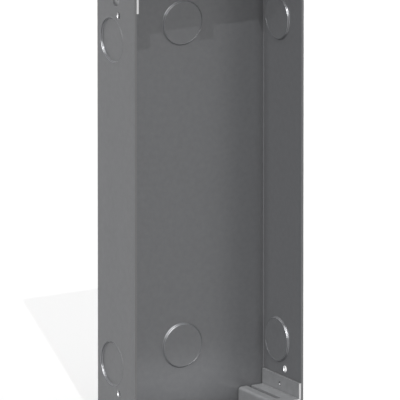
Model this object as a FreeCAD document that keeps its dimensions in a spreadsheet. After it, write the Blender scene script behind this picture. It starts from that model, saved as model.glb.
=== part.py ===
import FreeCAD, Part
import Sketcher
import os

# Flush mounting box: one folded steel tray, open at the front, with a folded bracket in each corner.
# It stands on its lower end. X runs across the front, Y from the open front to the back, Z up.

doc = FreeCAD.newDocument("flushMountingBox")
sizes = doc.addObject("Spreadsheet::Sheet", "sizes")

# Every driving size in millimetres: its name, its value and what it measures.
sizeTable = [
    ("boxWidth", 123, "outside, across the front"),
    ("boxDepth", 48.2, "outside, front edge to back"),
    ("boxHeight", 297, "outside, end to end"),
    ("sheetThickness", 1.5, "tray sheet"),
    ("bendRadius", 0.5, "inside radius of the tray's folds"),
    ("foldRelief", 0.5, "how far a relief notch runs past its fold"),
    ("seamGap", 0.2, "open seam between an end wall and a side wall"),
    ("knockoutDiameter", 28, "conduit entry"),
    ("knockoutThrow", 1.4, "how far each disc is pushed into the box"),
    ("rimRounding", 0.6, "at the edge of each disc and at its foot"),
    ("knockoutFromEnd", 43.5, "centre, from the outside of the nearer end"),
    ("knockoutFromFront", 29.2, "centre on a side wall, from the front edge"),
    ("fixingHoleDiameter", 4.5, "screw hole in a side wall"),
    ("fixingHoleFromEnd", 26, "centre, from the outside of the nearer end"),
    ("fixingHoleFromFront", 20.3, "centre, from the front edge"),
    ("accessHoleDiameter", 9.6, "hole in a side wall over a bracket's tapped hole"),
    ("lugWidth", 10, "cover lug at the middle of each end"),
    ("lugHeight", 10, "from the outside of the end"),
    ("lugHoleFromEnd", 5, "centre, from the outside of the end"),
    ("lugHoleDiameter", 2.9, "core of the tapped hole"),
    ("lugReliefWidth", 1.5, "slit beside the lug's fold"),
    ("bracketThickness", 1.5, "bracket sheet"),
    ("bracketBendRadius", 0.5, "inside radius of the bracket's folds"),
    ("bracketReach", 20.5, "outside of the side wall to the bracket's leg"),
    ("bracketBackGap", 0.1, "between a bracket and the fold of the back"),
    ("shelfFromEnd", 10.8, "shelf face, from the outside of the end"),
    ("tabHeight", 10.2, "tab beyond the shelf face"),
    ("tabHoleHeight", 4.9, "centre above the shelf face"),
    ("tabHoleFromFront", 24, "centre, from the front edge"),
    ("tabHoleDiameter", 2.9, "core of the tapped hole"),
    ("slotWidth", 3.2, "slot that runs along the shelf"),
    ("slotFromTab", 9.6, "middle of the slot from the tab's face"),
    ("slotBridge", 9, "uncut shelf between the front edge and the slot"),
    ("slotCornerRadius", 1, "corners at the slot's closed end"),
]
for row, (name, value, meaning) in enumerate(sizeTable, start=1):
    sizes.set(f"A{row}", name)
    sizes.set(f"B{row}", str(value))
    sizes.set(f"C{row}", meaning)
    sizes.setAlias(f"B{row}", name)
doc.recompute()

# Places that several pieces share, measured from the middle of the front opening.
side = "sizes.boxWidth / 2"
sideInner = f"({side} - sizes.sheetThickness)"
end = "sizes.boxHeight / 2"
endInner = f"({end} - sizes.sheetThickness)"
back = "sizes.boxDepth"
backInner = "(sizes.boxDepth - sizes.sheetThickness)"
outerBend = "(sizes.bendRadius + sizes.sheetThickness)"
relief = f"({outerBend} + sizes.foldRelief)"
knockoutHeight = f"({end} - sizes.knockoutFromEnd)"
shelfFace = f"({end} - sizes.shelfFromEnd)"
tabHoleZ = f"({shelfFace} - sizes.tabHoleHeight)"

# How a sketch refers to its own origin, and the least distance it can dimension from it.
originPoint = (-1, 1)
leastDistance = 1e-9

halfTurn = FreeCAD.Rotation(FreeCAD.Vector(0, 1, 0), 180)


def evaluate(expression):
    return float(sizes.evalExpression(expression))


def originPlane(body, role):
    return next(item for item in body.Origin.OriginFeatures if item.Role == role)


def newSketch(body, name, role, across="0", up="0", out="0"):
    """A sketch on one of the body's own origin planes, its origin moved within that plane and off it."""
    sketch = body.newObject("Sketcher::SketchObject", name)
    sketch.AttachmentSupport = (originPlane(body, role), [""])
    sketch.MapMode = "FlatFace"
    sketch.setExpression("AttachmentOffset.Base.x", across)
    sketch.setExpression("AttachmentOffset.Base.y", up)
    sketch.setExpression("AttachmentOffset.Base.z", out)
    return sketch


def bind(sketch, kind, references, expression):
    """A dimension that follows an expression, with its two points in the order that makes it positive."""
    if evaluate(expression) < 0:
        references = references[2:] + references[:2]
        expression = f"-({expression})"
    index = sketch.addConstraint(Sketcher.Constraint(kind, *references, evaluate(expression)))
    sketch.setExpression(f"Constraints[{index}]", expression)


def lockAcross(sketch, edge, point, expression):
    if abs(evaluate(expression)) < leastDistance:
        sketch.addConstraint(Sketcher.Constraint("Vertical", *originPoint, edge, point))
    else:
        bind(sketch, "DistanceX", [*originPoint, edge, point], expression)


def lockUp(sketch, edge, point, expression):
    if abs(evaluate(expression)) < leastDistance:
        sketch.addConstraint(Sketcher.Constraint("Horizontal", *originPoint, edge, point))
    else:
        bind(sketch, "DistanceY", [*originPoint, edge, point], expression)


def drawOutline(sketch, corners):
    """A closed outline through corners of (across, up, rounding). Runs that meet a rounding are square."""
    points = [FreeCAD.Vector(evaluate(across), evaluate(up), 0) for across, up, rounding in corners]
    radii = [evaluate(rounding) if rounding else 0 for across, up, rounding in corners]
    count = len(corners)
    runs = []
    for i in range(count):
        following = (i + 1) % count
        along = (points[following] - points[i]).normalize()
        start = points[i] + along * radii[i]
        stop = points[following] - along * radii[following]
        runs.append(sketch.addGeometry(Part.LineSegment(start, stop), False))
        if radii[i] or radii[following]:
            level = abs(along.x) > abs(along.y)
            sketch.addConstraint(Sketcher.Constraint("Horizontal" if level else "Vertical", runs[i]))
            if radii[i] and radii[following]:
                lock = lockUp if level else lockAcross
                lock(sketch, runs[i], 1, corners[i][1] if level else corners[i][0])
    for i, (across, up, rounding) in enumerate(corners):
        before = runs[i - 1]
        if rounding:
            addRounding(sketch, before, runs[i], points[i], radii[i], rounding)
        else:
            sketch.addConstraint(Sketcher.Constraint("Coincident", before, 2, runs[i], 1))
            lockAcross(sketch, runs[i], 1, across)
            lockUp(sketch, runs[i], 1, up)


def addRounding(sketch, before, after, corner, radius, expression):
    entry = sketch.getPoint(before, 2)
    leave = sketch.getPoint(after, 1)
    centre = entry + leave - corner
    turnsLeft = (corner - entry).cross(leave - corner).z > 0
    first, last = (entry, leave) if turnsLeft else (leave, entry)
    circle = Part.Circle(centre, FreeCAD.Vector(0, 0, 1), radius)
    arc = Part.ArcOfCircle(circle, circle.parameter(first), circle.parameter(last))
    rounding = sketch.addGeometry(arc, False)
    entryEnd, leaveEnd = (1, 2) if turnsLeft else (2, 1)
    sketch.addConstraint(Sketcher.Constraint("Tangent", before, 2, rounding, entryEnd))
    sketch.addConstraint(Sketcher.Constraint("Tangent", rounding, leaveEnd, after, 1))
    bind(sketch, "Radius", [rounding], expression)


def drawCircle(sketch, across, up, diameter):
    centre = FreeCAD.Vector(evaluate(across), evaluate(up), 0)
    circle = Part.Circle(centre, FreeCAD.Vector(0, 0, 1), evaluate(diameter) / 2)
    edge = sketch.addGeometry(circle, False)
    lockAcross(sketch, edge, 3, across)
    lockUp(sketch, edge, 3, up)
    bind(sketch, "Diameter", [edge], diameter)


def addFeature(body, kind, name, sketch, **settings):
    feature = body.newObject(f"PartDesign::{kind}", name)
    feature.Profile = sketch
    for setting, value in settings.items():
        if isinstance(value, str) and setting in ("Length", "Length2", "Angle"):
            feature.setExpression(setting, value)
        else:
            setattr(feature, setting, value)
    return feature


def mirror(body, name, role, originals):
    """The same features again, on the other side of one of the body's middle planes."""
    feature = body.newObject("PartDesign::Mirrored", name)
    feature.Originals = originals
    feature.MirrorPlane = (originPlane(body, role), [""])
    body.Tip = feature
    return feature


def mirrorToCorners(body, name, originals):
    """Features at one corner, mirrored end for end and side for side."""
    feature = body.newObject("PartDesign::MultiTransform", name)
    steps = []
    for role in ("XY_Plane", "YZ_Plane"):
        step = body.newObject("PartDesign::Mirrored", f"{name}{role[:2]}")
        step.MirrorPlane = (originPlane(body, role), [""])
        steps.append(step)
    feature.Originals = originals
    feature.Transformations = steps
    body.Tip = feature
    return feature


def newBody(name):
    """A body whose own origin is the middle of the front opening, set on the foot of the box."""
    body = doc.addObject("PartDesign::Body", name)
    body.Label = name
    body.setExpression("Placement.Base.y", "-sizes.boxDepth / 2")
    body.setExpression("Placement.Base.z", "sizes.boxHeight / 2")
    return body


def addChannel(tray):
    """The back with both side walls folded up from it, at full height."""
    profile = newSketch(tray, "channelProfile", "XY_Plane")
    drawOutline(profile, [
        (f"-{side}", "0", None),
        (f"-{sideInner}", "0", None),
        (f"-{sideInner}", backInner, "sizes.bendRadius"),
        (sideInner, backInner, "sizes.bendRadius"),
        (sideInner, "0", None),
        (side, "0", None),
        (side, back, outerBend),
        (f"-{side}", back, outerBend),
    ])
    return addFeature(tray, "Pad", "channel", profile, Length="sizes.boxHeight", SideType="Symmetric")


def addEnd(tray):
    """The lower end wall, folded up from the back, with its cover lug, then both again at the top."""
    trimProfile = newSketch(tray, "trimProfile", "YZ_Plane")
    drawOutline(trimProfile, [
        (f"{back} - {relief}", f"-{end}", None),
        (back, f"-{end}", None),
        (back, f"{relief} - {end}", None),
        (f"{back} - {relief}", f"{relief} - {end}", None),
    ])
    trim = addFeature(tray, "Pocket", "trim", trimProfile, Type="ThroughAll", SideType="Symmetric")

    seam = f"({sideInner} - sizes.seamGap)"
    slit = "(sizes.lugWidth / 2 + sizes.lugReliefWidth)"
    wallProfile = newSketch(tray, "endWallProfile", "XY_Plane", out=f"-{end}")
    drawOutline(wallProfile, [
        (f"-{seam}", "0", None),
        (f"-{slit}", "0", None),
        (f"-{slit}", relief, None),
        (slit, relief, None),
        (slit, "0", None),
        (seam, "0", None),
        (seam, f"{back} - {relief}", None),
        (f"-{seam}", f"{back} - {relief}", None),
    ])
    wall = addFeature(tray, "Pad", "endWall", wallProfile, Length="sizes.sheetThickness")

    foldProfile = newSketch(tray, "endFoldProfile", "YZ_Plane")
    drawOutline(foldProfile, [
        (f"{back} - {relief}", f"-{end}", None),
        (back, f"-{end}", outerBend),
        (back, f"{relief} - {end}", None),
        (backInner, f"{relief} - {end}", None),
        (backInner, f"-{endInner}", "sizes.bendRadius"),
        (f"{back} - {relief}", f"-{endInner}", None),
    ])
    fold = addFeature(tray, "Pad", "endFold", foldProfile, Length=f"sizes.boxWidth - 2 * {relief}",
                      SideType="Symmetric")

    lugProfile = newSketch(tray, "lugProfile", "YZ_Plane")
    drawOutline(lugProfile, [
        (relief, f"-{end}", None),
        (relief, f"-{endInner}", None),
        ("sizes.sheetThickness", f"-{endInner}", "sizes.bendRadius"),
        ("sizes.sheetThickness", f"sizes.lugHeight - {end}", None),
        ("0", f"sizes.lugHeight - {end}", None),
        ("0", f"-{end}", outerBend),
    ])
    lug = addFeature(tray, "Pad", "lug", lugProfile, Length="sizes.lugWidth", SideType="Symmetric")

    holeProfile = newSketch(tray, "lugHoleProfile", "XZ_Plane")
    drawCircle(holeProfile, "0", f"sizes.lugHoleFromEnd - {end}", "sizes.lugHoleDiameter")
    hole = addFeature(tray, "Pocket", "lugHole", holeProfile, Length="sizes.sheetThickness")
    mirror(tray, "otherEnd", "XY_Plane", [trim, wall, fold, lug, hole])


def knockoutOutline(face, inward):
    """Half section of a disc or of its recess, as (depth, radius) from its axis.

    The rounding at its edge and the one at its foot are cut as two flats each.
    """
    radius = "sizes.knockoutDiameter / 2"
    rounding = "sizes.rimRounding"
    flat = "(1 - sqrt(0.5)) * sizes.rimRounding"
    return [
        (face, "0"),
        (face, f"{radius} + {rounding}"),
        (f"{face} {inward} {flat}", f"{radius} + {flat}"),
        (f"{face} {inward} {rounding}", radius),
        (f"{face} {inward} (sizes.knockoutThrow - {rounding})", radius),
        (f"{face} {inward} (sizes.knockoutThrow - {flat})", f"{radius} - {flat}"),
        (f"{face} {inward} sizes.knockoutThrow", f"{radius} - {rounding}"),
        (f"{face} {inward} sizes.knockoutThrow", "0"),
    ]


def addKnockout(tray, name, outer, inner, inward, upright, across, up, out):
    """A half-sheared disc: a round recess outside, and the disc standing as far proud inside."""
    features = []
    for kind, label, face in (("Groove", "Recess", outer), ("Revolution", "Disc", inner)):
        section = newSketch(tray, f"{name}{label}Profile", "XY_Plane", across, up, out)
        outline = knockoutOutline(face, inward)
        if upright:
            drawOutline(section, [(distance, depth, None) for depth, distance in outline])
        else:
            drawOutline(section, [(depth, distance, None) for depth, distance in outline])
        axis = "V_Axis" if upright else "H_Axis"
        features.append(addFeature(tray, kind, f"{name}{label}", section, ReferenceAxis=(section, [axis])))
    return features


def makeTray():
    tray = newBody("box_body")
    addChannel(tray)
    addEnd(tray)

    sidePair = addKnockout(tray, "sideKnockout", f"-{side}", f"-{sideInner}", "+", False,
                           "0", "sizes.knockoutFromFront", f"-{knockoutHeight}")
    mirrorToCorners(tray, "sideKnockouts", sidePair)

    backPair = addKnockout(tray, "backKnockout", back, backInner, "-", True,
                           "0", "0", f"-{knockoutHeight}")
    mirror(tray, "backKnockouts", "XY_Plane", backPair)

    holes = newSketch(tray, "sideHoleProfile", "YZ_Plane")
    drawCircle(holes, "sizes.fixingHoleFromFront", f"sizes.fixingHoleFromEnd - {end}",
               "sizes.fixingHoleDiameter")
    drawCircle(holes, "sizes.tabHoleFromFront", f"-{tabHoleZ}", "sizes.accessHoleDiameter")
    sideHoles = addFeature(tray, "Pocket", "sideHoles", holes, Type="ThroughAll", SideType="Symmetric")
    mirror(tray, "otherSideHoles", "XY_Plane", [sideHoles])
    return tray


def makeBracket(name, hand, turned):
    """A corner bracket for the lower end, on the right with hand "" and on the left with hand "-".

    Turned half round about the depth, the same piece fits the opposite corner of the upper end.
    """
    bracket = newBody(name)
    if turned:
        bracket.Placement.Rotation = halfTurn
    tabFace = f"({sideInner} - sizes.bracketThickness)"
    legFace = f"({side} - sizes.bracketReach)"
    shelfUnder = f"({shelfFace} + sizes.bracketThickness)"
    outerRadius = "(sizes.bracketBendRadius + sizes.bracketThickness)"
    depth = f"({backInner} - sizes.bendRadius - sizes.bracketBackGap)"

    profile = newSketch(bracket, f"{name}Profile", "XZ_Plane")
    drawOutline(profile, [
        (f"{hand}{sideInner}", f"sizes.tabHeight - {shelfFace}", None),
        (f"{hand}{tabFace}", f"sizes.tabHeight - {shelfFace}", None),
        (f"{hand}{tabFace}", f"-{shelfFace}", "sizes.bracketBendRadius"),
        (f"{hand}{legFace}", f"-{shelfFace}", outerRadius),
        (f"{hand}{legFace}", f"-{endInner}", None),
        (f"{hand}({legFace} + sizes.bracketThickness)", f"-{endInner}", None),
        (f"{hand}({legFace} + sizes.bracketThickness)", f"-{shelfUnder}", "sizes.bracketBendRadius"),
        (f"{hand}{sideInner}", f"-{shelfUnder}", outerRadius),
    ])
    addFeature(bracket, "Pad", f"{name}Sheet", profile, Length=depth, Reversed=True)

    hole = newSketch(bracket, f"{name}HoleProfile", "YZ_Plane")
    drawCircle(hole, "sizes.tabHoleFromFront", f"-{tabHoleZ}", "sizes.tabHoleDiameter")
    addFeature(bracket, "Pocket", f"{name}Hole", hole, Type="ThroughAll", SideType="Symmetric")

    slotMiddle = f"({tabFace} - sizes.slotFromTab)"
    slotNear = f"{hand}({slotMiddle} - sizes.slotWidth / 2)"
    slotFar = f"{hand}({slotMiddle} + sizes.slotWidth / 2)"
    slot = newSketch(bracket, f"{name}SlotProfile", "XY_Plane", out=f"-{shelfFace}")
    drawOutline(slot, [
        (slotNear, "sizes.slotBridge", "sizes.slotCornerRadius"),
        (slotFar, "sizes.slotBridge", "sizes.slotCornerRadius"),
        (slotFar, depth, None),
        (slotNear, depth, None),
    ])
    addFeature(bracket, "Pocket", f"{name}Slot", slot, Length="sizes.bracketThickness")
    return bracket


bodies = [makeTray()]
for name, hand, turned in (
    ("bracket_bottom_left", "-", False),
    ("bracket_bottom_right", "", False),
    ("bracket_top_left", "", True),
    ("bracket_top_right", "-", True),
):
    bodies.append(makeBracket(name, hand, turned))
doc.recompute()

for item in doc.Objects:
    if "Invalid" in item.State or "Error" in item.State:
        raise RuntimeError(f"{item.Name} failed: {item.State}")
for body in bodies:
    if body.Shape.isNull() or not body.Shape.isValid():
        raise RuntimeError(f"{body.Label} has no valid shape")

os.makedirs("parts", exist_ok=True)
for body in bodies:
    body.Shape.exportStep(f"parts/{body.Label}.step")
    box = body.Shape.BoundBox
    print(body.Label, len(body.Shape.Solids), "solid", round(body.Shape.Volume), "mm3",
          [round(value, 2) for value in (box.XMin, box.XMax, box.YMin, box.YMax, box.ZMin, box.ZMax)])
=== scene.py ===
import math
import bpy
import numpy as np
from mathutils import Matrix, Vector


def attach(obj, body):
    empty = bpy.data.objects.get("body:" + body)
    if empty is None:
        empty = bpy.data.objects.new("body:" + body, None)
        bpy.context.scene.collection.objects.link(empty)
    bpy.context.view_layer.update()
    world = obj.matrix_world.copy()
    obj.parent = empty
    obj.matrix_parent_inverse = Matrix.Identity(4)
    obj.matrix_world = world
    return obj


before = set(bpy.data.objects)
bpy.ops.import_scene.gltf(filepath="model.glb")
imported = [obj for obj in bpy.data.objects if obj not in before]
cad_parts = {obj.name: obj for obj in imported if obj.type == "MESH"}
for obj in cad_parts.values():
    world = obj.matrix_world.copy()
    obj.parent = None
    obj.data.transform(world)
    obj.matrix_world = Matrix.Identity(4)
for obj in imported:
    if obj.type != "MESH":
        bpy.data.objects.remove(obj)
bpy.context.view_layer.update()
print("frame loaded:", ", ".join(sorted(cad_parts)))


# Everything below is in metres, in the frame of the part: X across the front, Y from the open
# front to the back, Z up from the foot. The sizes and places are those of the solids.
mm = 0.001

box = {
    "halfWidth": 61.5 * mm,
    "halfDepth": 24.1 * mm,
    "height": 297.0 * mm,
    "sheet": 1.5 * mm,
}


def bothEnds(fromEnd):
    # The two heights of what the box has near its foot and again near its top.
    return fromEnd, box["height"] - fromEnd


def behindFront(distance):
    # The Y of a place that far behind the open front.
    return distance - box["halfDepth"]


class Socket:
    # A shader socket in an expression. Sums and products of values add Math nodes.
    def __init__(self, tree, link):
        self.tree = tree
        self.link = link

    def node(self, kind, settings, inputs, output=0):
        # Any other node: its type, its settings, then the value or link of each input.
        made = self.tree.nodes.new("ShaderNode" + kind)
        for name, value in settings.items():
            setattr(made, name, value)
        feed(made, inputs)
        return Socket(self.tree, None if output is None else made.outputs[output])

    def maths(self, operation, first, second):
        return self.node("Math", {"operation": operation}, {0: first, 1: second})

    def __add__(self, other):
        return self.maths("ADD", self, other)

    def __radd__(self, other):
        return self.maths("ADD", other, self)

    def __sub__(self, other):
        return self.maths("SUBTRACT", self, other)

    def __rsub__(self, other):
        return self.maths("SUBTRACT", other, self)

    def __mul__(self, other):
        return self.maths("MULTIPLY", self, other)

    def __rmul__(self, other):
        return self.maths("MULTIPLY", other, self)

    def maximum(self, other):
        return self.maths("MAXIMUM", self, other)

    def mix(self, low, high):
        # A colour between two, with this value as the share of the second. Sockets 6 and 7 and
        # output 2 are the ones for colours.
        return self.node("Mix", {"data_type": "RGBA"}, {0: self, 6: low, 7: high}, output=2)


def feed(node, inputs):
    # Sets each socket that is given a value, and links each that is given a Socket.
    for name, value in inputs.items():
        if isinstance(value, Socket):
            value.tree.links.new(value.link, node.inputs[name])
        else:
            node.inputs[name].default_value = value


def newMaterial(name):
    # The material, its shader node and the place on the object, to build expressions from.
    material = bpy.data.materials.new(name)
    material.use_nodes = True
    tree = material.node_tree
    shader = tree.nodes["Principled BSDF"]
    place = Socket(tree, None).node("TexCoord", {}, {}, output="Object")
    return material, shader, place


def colour(parts, tone=1.0):
    return tuple(tone * part for part in parts) + (1.0,)


# What the finishes share.
sheetEdges = {
    "frontCut": 0.02 * mm,  # a face this near to the open front is a cut edge of the sheet
    "rounding": 0.3 * mm,   # how far edges and folds look eased
    "raySamples": 8,
}


def noise(vector, scale, detail):
    return vector.node("TexNoise", {}, {"Vector": vector, "Scale": scale, "Detail": detail})


def paintedShade(place, reach):
    # 1 on open sheet, less where other sheet stands within reach. The colour is painted darker
    # there, as shade in corners, hollows and holes.
    samples = sheetEdges["raySamples"]
    return place.node("AmbientOcclusion", {"samples": samples}, {"Distance": reach}, output="AO")


def frontEdge(place):
    # 1 on the edges that were cut at the open front, 0 elsewhere. There the colour of the bare
    # cut edge goes, with a painted highlight on it.
    depth = place.node("SeparateXYZ", {}, {"Vector": place}, output="Y")
    return depth.maths("LESS_THAN", depth, behindFront(sheetEdges["frontCut"]))


def bumped(place, relief, strength, height):
    # The surface's direction, with eased edges and a relief of that height.
    rounded = place.node("Bevel", {"samples": sheetEdges["raySamples"]}, {"Radius": sheetEdges["rounding"]})
    inputs = {"Strength": strength, "Distance": height, "Height": relief, "Normal": rounded}
    return place.node("Bump", {}, inputs)


coating = {
    "tray": {"tone": 0.107, "metal": 0.0, "roughness": 0.325},
    "thin": {"tone": 0.19, "metal": 0.4, "roughness": 0.225},
    "dark": (0.87, 0.885, 0.925),   # the mottle's two ends, as shares of the tone
    "pale": (1.13, 1.155, 1.205),
    # painted shade in corners, hollows and holes, as shares of the tone
    "paintedShade": (0.5, 0.5, 0.52),
    # front cut edges: lighter as bare cut sheet, and with a painted highlight on top
    "cut": (1.15, 1.16, 1.18),
    # how far from other sheet the painted shade reaches
    "paintedShadeReach": 8.0 * mm,
    "mottleScale": 300.0,           # noise scales count cells in a metre
    "mottleDetail": 6.0,
    "mottleGloss": 0.05,            # what the mottle takes off the roughness
    "peelScale": 900.0,
    "peelDetail": 1.0,
    "peelStrength": 0.35,
    "peelHeight": 0.1 * mm,
}


def makeCoating(name, kind):
    # Grey satin coating on steel: faint mottle in tone and gloss, painted shade in corners and hollows,
    # lighter front cut edges with a painted highlight, and a fine orange peel. Where a punch or a tap has
    # stretched it thin, some of the steel shows through.
    material, shader, place = newMaterial(name)
    tone = kind["tone"]
    mottle = noise(place, coating["mottleScale"], coating["mottleDetail"])
    peel = noise(place, coating["peelScale"], coating["peelDetail"])
    flat = mottle.mix(colour(coating["dark"], tone), colour(coating["pale"], tone))
    # Painted shade: the colour goes darker where other sheet stands within reach.
    shadedColour = paintedShade(place, coating["paintedShadeReach"]).mix(colour(coating["paintedShade"], tone), flat)
    feed(shader, {
        # The front cut edges: lighter as bare sheet, and painted lighter still as a highlight.
        "Base Color": frontEdge(place).mix(shadedColour, colour(coating["cut"], tone)),
        "Metallic": kind["metal"],
        "Roughness": kind["roughness"] - mottle * coating["mottleGloss"],
        "Normal": bumped(place, peel, coating["peelStrength"], coating["peelHeight"]),
    })
    return material


zinc = {
    "dark": (0.158, 0.161, 0.166),
    "pale": (0.283, 0.286, 0.293),
    # painted shade in corners, the slot and holes
    "paintedShade": (0.08, 0.08, 0.08),
    # front cut edges: bare steel, and painted bright as the highlight that they catch
    "cut": (0.54, 0.54, 0.545),
    "metal": 0.3,
    # how far from other sheet the painted shade reaches
    "paintedShadeReach": 2.0 * mm,
    "cloudScale": 200.0,
    "cloudDetail": 4.0,
    "cloudShare": 0.6,              # of the colour's changes; the rolling lines make the rest
    "lineShare": 0.4,
    "lineScale": (4000.0, 80.0, 4000.0),    # fine across and long from front to back
    "lineDetail": 2.0,
    "lineStrength": 0.4,
    "lineHeight": 0.02 * mm,
    "smoothest": 0.29,
    "lineGloss": 0.2,               # what the rolling lines add to the roughness
}


def makeZinc():
    # Bright zinc on steel: partly metal, with clouds and fine rolling lines along the sheet. Corners and
    # holes get painted shade, and the front cut edges a painted highlight.
    material, shader, place = newMaterial("bracketZinc")
    clouds = noise(place, zinc["cloudScale"], zinc["cloudDetail"])
    stretched = place.node("VectorMath", {"operation": "MULTIPLY"}, {0: place, 1: zinc["lineScale"]})
    lines = noise(stretched, 1.0, zinc["lineDetail"])
    pattern = clouds * zinc["cloudShare"] + lines * zinc["lineShare"]
    flat = pattern.mix(colour(zinc["dark"]), colour(zinc["pale"]))
    # Painted shade: the colour goes darker where other sheet stands within reach.
    shadedColour = paintedShade(place, zinc["paintedShadeReach"]).mix(colour(zinc["paintedShade"]), flat)
    feed(shader, {
        # The front cut edges: lighter as bare sheet, and painted lighter still as a highlight.
        "Base Color": frontEdge(place).mix(shadedColour, colour(zinc["cut"])),
        "Metallic": zinc["metal"],
        "Roughness": zinc["smoothest"] + lines * zinc["lineGloss"],
        "Normal": bumped(place, lines, zinc["lineStrength"], zinc["lineHeight"]),
    })
    return material


steel = {
    "dark": (0.44, 0.44, 0.45),
    "pale": (0.56, 0.56, 0.57),
    "markScale": 700.0,
    "markDetail": 2.0,
    "smoothest": 0.26,
    "markGloss": 0.12,              # what the marks add to the roughness
}


def makeBareSteel():
    # Burnished steel where the punch has cut through the coating.
    material, shader, place = newMaterial("bareSteel")
    marks = noise(place, steel["markScale"], steel["markDetail"])
    feed(shader, {
        "Base Color": marks.mix(colour(steel["dark"]), colour(steel["pale"])),
        "Metallic": 1.0,
        "Roughness": steel["smoothest"] + marks * steel["markGloss"],
    })
    return material


def dress(node, material):
    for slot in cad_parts[node].material_slots:
        slot.material = material


def addRings(name, grids, material):
    # One smooth piece from point grids of shape (rows, columns, 3), each closed both ways. The
    # first half of the rows is one wall and the rest the other, with flat faces between them.
    points = []
    faces = []
    smooth = []
    count = 0
    for grid in grids:
        rows, columns = grid.shape[:2]
        here = np.arange(rows * columns).reshape(rows, columns) + count
        below = np.roll(here, -1, axis=0)
        corners = [here, np.roll(here, -1, axis=1), np.roll(below, -1, axis=1), below]
        points.append(grid.reshape(-1, 3))
        faces.append(np.stack(corners, axis=-1).reshape(-1, 4))
        count += rows * columns
        isWall = np.ones((rows, columns), bool)
        isWall[[rows // 2 - 1, rows - 1]] = False
        smooth.append(isWall.ravel())
    points = np.concatenate(points)
    faces = np.concatenate(faces)
    mesh = bpy.data.meshes.new(name)
    mesh.from_pydata(points.tolist(), [], faces.tolist())
    mesh.polygons.foreach_set("use_smooth", np.concatenate(smooth))
    mesh.materials.append(material)
    piece = bpy.data.objects.new(name, mesh)
    bpy.context.scene.collection.objects.link(piece)
    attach(piece, "root")
    print(name, len(faces), "quads")


def turned(depth, reach, centre, axis, turnSteps):
    # A closed section of depths and radii, carried round an axis: point = centre + depth along the
    # axis + radius times (cosine of the turn upwards + sine of the turn sideways). The radius may
    # also change with the turn.
    along = np.array(axis, float)
    up = np.array((0.0, 0.0, 1.0))
    angle = np.linspace(0.0, 2.0 * np.pi, turnSteps, endpoint=False)
    ring = np.cos(angle)[:, None] * up + np.sin(angle)[:, None] * np.cross(along, up)
    middle = np.array(centre) + depth[:, None] * along
    radii = np.broadcast_to(reach if reach.ndim == 2 else reach[:, None], (len(depth), turnSteps))
    return middle[:, None, :] + radii[:, :, None] * ring[None, :, :]


knockout = {
    "radius": 14.0 * mm,
    "throw": 1.4 * mm,
    "rounding": 0.6 * mm,   # of the raised corner of a rim
    "cove": 0.65 * mm,      # of its hollow corner, so that it covers the flats of the solid
    "clear": 0.04 * mm,     # how far the rolled rim stands off the solid
    "skin": 0.05 * mm,      # how deep it goes into the solid
    "fromEnd": 43.5 * mm,
    "fromFront": 29.2 * mm,
    "arcSteps": 6,
    "turnSteps": 128,
}


def rimCurve(air, offset):
    # The rolled rim of a punched disc, as depths and radii: a quarter circle at its foot and one
    # at its edge. Air is 1 where the open side is outside the rim and -1 inside it.
    radius, throw = knockout["radius"], knockout["throw"]
    foot, edge = knockout["cove"], knockout["rounding"]
    if air < 0.0:
        foot, edge = edge, foot
    quarter = np.linspace(0.0, np.pi / 2.0, knockout["arcSteps"] + 1)
    footArc = foot - air * offset
    edgeArc = edge + air * offset
    footDepth = foot - footArc * np.cos(quarter)
    footReach = radius + foot - footArc * np.sin(quarter)
    edgeDepth = throw - edge + edgeArc * np.sin(quarter)
    edgeReach = radius - edge + edgeArc * np.cos(quarter)
    return np.stack([np.concatenate([footDepth, edgeDepth]), np.concatenate([footReach, edgeReach])])


def rimSection(air):
    # A thin skin over the rim: its curve out in the air, and back inside the solid.
    out = rimCurve(air, knockout["clear"])
    back = rimCurve(air, -knockout["skin"])
    loop = np.concatenate([out, back[:, ::-1]], axis=1)
    return loop if air > 0.0 else loop[:, ::-1]


def makeRims(material):
    # Two rims for each knock-out: round its recess outside and round its proud disc inside.
    grids = []
    across = behindFront(knockout["fromFront"])
    recess = rimSection(-1.0)
    proud = rimSection(1.0)
    for height in bothEnds(knockout["fromEnd"]):
        walls = (
            ((-box["halfWidth"], across, height), (1, 0, 0)),
            ((box["halfWidth"], across, height), (-1, 0, 0)),
            ((0.0, box["halfDepth"], height), (0, -1, 0)),
        )
        for centre, axis in walls:
            grids.append(turned(recess[0], recess[1], centre, axis, knockout["turnSteps"]))
            grids.append(turned(proud[0] + box["sheet"], proud[1], centre, axis, knockout["turnSteps"]))
    addRings("knockoutRims", grids, material)


def holeSection(sizes, inner):
    # A thin tube in a hole: the inner wall as given, backwards, and then the outer in the solid.
    depth = np.linspace(sizes["inset"], box["sheet"] - sizes["inset"], len(inner))
    outer = np.full(inner.shape, sizes["radius"] + sizes["skin"])
    return np.concatenate([depth[::-1], depth]), np.concatenate([inner[::-1], outer])


screwHole = {
    "radius": 2.25 * mm,
    "clear": 0.01 * mm,
    "skin": 0.05 * mm,
    "inset": 0.1 * mm,      # of its ends from the faces of the sheet
    "fromEnd": 26.0 * mm,
    "fromFront": 20.3 * mm,
    "alongPoints": 4,
    "turnSteps": 48,
}


def makeHoleWalls(material):
    # The bare wall of each punched screw hole: a straight section carried round the hole's axis.
    inner = np.full(screwHole["alongPoints"], screwHole["radius"] - screwHole["clear"])
    depth, reach = holeSection(screwHole, inner)
    grids = []
    for height in bothEnds(screwHole["fromEnd"]):
        for side in (-1.0, 1.0):
            centre = (side * box["halfWidth"], behindFront(screwHole["fromFront"]), height)
            grids.append(turned(depth, reach, centre, (-side, 0, 0), screwHole["turnSteps"]))
    addRings("screwHoleWalls", grids, material)


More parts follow.
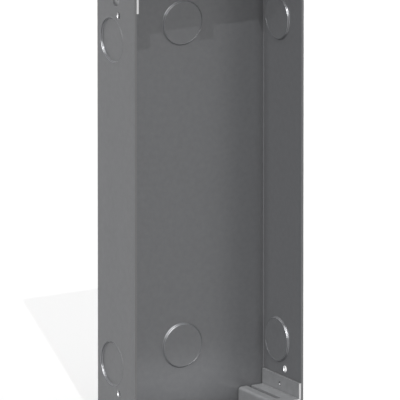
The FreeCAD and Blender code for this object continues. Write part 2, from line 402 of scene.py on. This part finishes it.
thread = {
    "radius": 1.45 * mm,
    "pitch": 0.6 * mm,
    "ridge": 0.2 * mm,      # how far the thread stands into the hole
    "clear": 0.01 * mm,
    "skin": 0.05 * mm,
    "inset": 0.02 * mm,     # of its ends from the faces of the sheet
    "alongSteps": 20,
    "turnSteps": 32,
    "lugFromEnd": 5.0 * mm,
    "tabFromEnd": 15.7 * mm,
    "tabFromFront": 24.0 * mm,
}


def makeThreads(name, holes, material):
    # A helix of one ridge: the radius dips by the ridge height once a pitch, as a triangle wave of
    # (distance along the hole / pitch - turn / full turn).
    steps = thread["turnSteps"]
    along = np.linspace(0.0, box["sheet"] / thread["pitch"], thread["alongSteps"] + 1)
    phase = (along[:, None] - np.arange(steps)[None, :] / steps) % 1.0
    dip = thread["ridge"] * (1.0 - np.abs(2.0 * phase - 1.0))
    depth, reach = holeSection(thread, thread["radius"] - thread["clear"] - dip)
    grids = [turned(depth, reach, centre, axis, steps) for centre, axis in holes]
    addRings(name, grids, material)


def makeAllThreads(material):
    lugHoles = []
    tabHoles = []
    tabWall = box["halfWidth"] - box["sheet"]
    for height in bothEnds(thread["lugFromEnd"]):
        lugHoles.append(((0.0, -box["halfDepth"], height), (0, 1, 0)))
    for height in bothEnds(thread["tabFromEnd"]):
        for side in (-1.0, 1.0):
            centre = (side * tabWall, behindFront(thread["tabFromFront"]), height)
            tabHoles.append((centre, (-side, 0, 0)))
    makeThreads("lugThreads", lugHoles, material)
    makeThreads("tabThreads", tabHoles, material)


def seenDirectly(start):
    # 1 for rays of the camera and in reflections, 0 for the light that the surroundings give.
    paths = ("Is Camera Ray", "Is Glossy Ray", "Is Transmission Ray")
    first, second, third = [start.node("LightPath", {}, {}, output=path) for path in paths]
    return first.maximum(second).maximum(third)


floor = {
    "radius": 3.0,
    "grey": 0.6,            # what it scatters where the camera or a reflection sees it
    "glow": 0.225,          # and what is added there
    "bounce": 0.16,         # what it scatters onto the box
}


def makeFloor():
    points = np.array([(-1, -1, 0), (1, -1, 0), (1, 1, 0), (-1, 1, 0)], float) * floor["radius"]
    mesh = bpy.data.meshes.new("floor")
    mesh.from_pydata(points.tolist(), [], [(0, 1, 2, 3)])
    ground = bpy.data.objects.new("floor", mesh)
    bpy.context.scene.collection.objects.link(ground)

    material = bpy.data.materials.new("paleFloor")
    material.use_nodes = True
    tree = material.node_tree
    tree.nodes.clear()
    start = Socket(tree, None)
    bounce = start.node("BsdfDiffuse", {}, {"Color": colour((floor["bounce"],) * 3)})
    plain = start.node("BsdfDiffuse", {}, {"Color": colour((floor["grey"],) * 3)})
    glow = start.node("Emission", {}, {"Color": colour((floor["glow"],) * 3)})
    lit = start.node("AddShader", {}, {0: plain, 1: glow})
    both = start.node("MixShader", {}, {0: seenDirectly(start), 1: bounce, 2: lit})
    start.node("OutputMaterial", {}, {"Surface": both}, output=None)
    mesh.materials.append(material)


sky = {
    "light": 0.35,          # what it throws on the box and the floor
    "seen": 1.0,            # how it looks, also in reflections
}


def makeSky():
    world = bpy.data.worlds.new("studio")
    bpy.context.scene.world = world
    world.use_nodes = True
    tree = world.node_tree
    tree.nodes.clear()
    start = Socket(tree, None)
    strength = sky["light"] + seenDirectly(start) * (sky["seen"] - sky["light"])
    white = start.node("Background", {}, {"Color": colour((1.0, 1.0, 1.0)), "Strength": strength})
    start.node("OutputWorld", {}, {"Surface": white}, output=None)


# Parallel lamps: the way each travels, its strength and its width in degrees. The place of such a
# lamp makes no difference.
lamps = {
    # The way of the sun is from the shadow that the box throws on the floor.
    "sun": {"travel": (0.383, 1.0, -1.0), "strength": 0.8, "angle": 0.3},
    # An even light on the two faces that the photo shows, and a weaker one on the hidden sides.
    "fill": {
        "travel": (1.8, 1.12, -1.5), "strength": 2.95, "angle": 25.0,
        "shadow": False, "glossy": False,
    },
    "backFill": {
        "travel": (-0.6, -0.6, -0.5), "strength": 1.7, "angle": 25.0,
        "shadow": False, "glossy": False,
    },
    # Soft, from the right; the right wall shades the back.
    "side": {"travel": (-0.75, 1.0, -0.15), "strength": 0.65, "angle": 50.0},
    # Seen only in highlights, round the place of the sun.
    "rimLight": {
        "travel": (0.383, 1.0, -1.0), "strength": 8.0, "angle": 56.0,
        "shadow": False, "diffuse": False,
    },
}


def placeLamp(name, lamp, place, travel):
    made = bpy.data.objects.new(name, lamp)
    made.rotation_mode = "QUATERNION"
    made.rotation_quaternion = Vector(travel).to_track_quat("-Z", "Y")
    made.location = place
    bpy.context.scene.collection.objects.link(made)
    return made


def makeLamp(name, travel, strength, angle, shadow=True, diffuse=True, glossy=True):
    lamp = bpy.data.lights.new(name, "SUN")
    lamp.energy = strength
    lamp.angle = math.radians(angle)
    lamp.use_shadow = shadow
    made = placeLamp(name, lamp, (0.0, 0.0, 0.0), travel)
    made.visible_diffuse = diffuse
    made.visible_glossy = glossy


# A low card with a grid before the box, which lights the foot of the back.
card = {
    "place": (-0.012, -0.1, 0.021),
    "travel": (0.0, 1.0, 0.0),
    "size": (0.09, 0.022),
    "spread": 22.0,         # degrees
    "power": 0.0031,
}


def makeCard():
    lamp = bpy.data.lights.new("lowCard", "AREA")
    lamp.shape = "RECTANGLE"
    lamp.size, lamp.size_y = card["size"]
    lamp.spread = math.radians(card["spread"])
    lamp.energy = card["power"]
    made = placeLamp("lowCard", lamp, card["place"], card["travel"])
    made.visible_camera = False
    made.visible_glossy = False


camera = {
    "azimuth": -30.3,       # degrees; minus is to the left of the open front
    "elevation": 14.2,
    "lens": 1500.0,         # in Blender's mm: the photo has almost no perspective
    "pictureWidth": 252.2 * mm,     # what the picture spans at the part
    "aim": (-0.05 * mm, 0.0, 143.2 * mm),
    "clipStart": 1.0,
}


def makeCamera():
    data = bpy.data.cameras.new("camera")
    data.lens = camera["lens"]
    distance = camera["pictureWidth"] * data.lens / data.sensor_width
    data.clip_start = camera["clipStart"]
    data.clip_end = 2.0 * distance
    eye = bpy.data.objects.new("camera", data)
    turn = math.radians(camera["azimuth"])
    rise = math.radians(camera["elevation"])
    back = Vector((math.sin(turn) * math.cos(rise), -math.cos(turn) * math.cos(rise), math.sin(rise)))
    eye.location = Vector(camera["aim"]) + back * distance
    eye.rotation_mode = "QUATERNION"
    eye.rotation_quaternion = (-back).to_track_quat("-Z", "Y")
    bpy.context.scene.collection.objects.link(eye)
    bpy.context.scene.camera = eye


makeCamera()
makeFloor()
makeSky()
for name, lamp in lamps.items():
    makeLamp(name, **lamp)
makeCard()
bpy.context.scene.view_settings.view_transform = "Standard"
print("camera, floor and lights made")

trayCoating = makeCoating("trayCoating", coating["tray"])
thinCoating = makeCoating("thinCoating", coating["thin"])
bracketZinc = makeZinc()
bareSteel = makeBareSteel()
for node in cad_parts:
    dress(node, trayCoating if node == "box_body" else bracketZinc)
print("materials made")

makeRims(thinCoating)
makeHoleWalls(bareSteel)
makeAllThreads(thinCoating)
print("rims, hole walls and threads made")
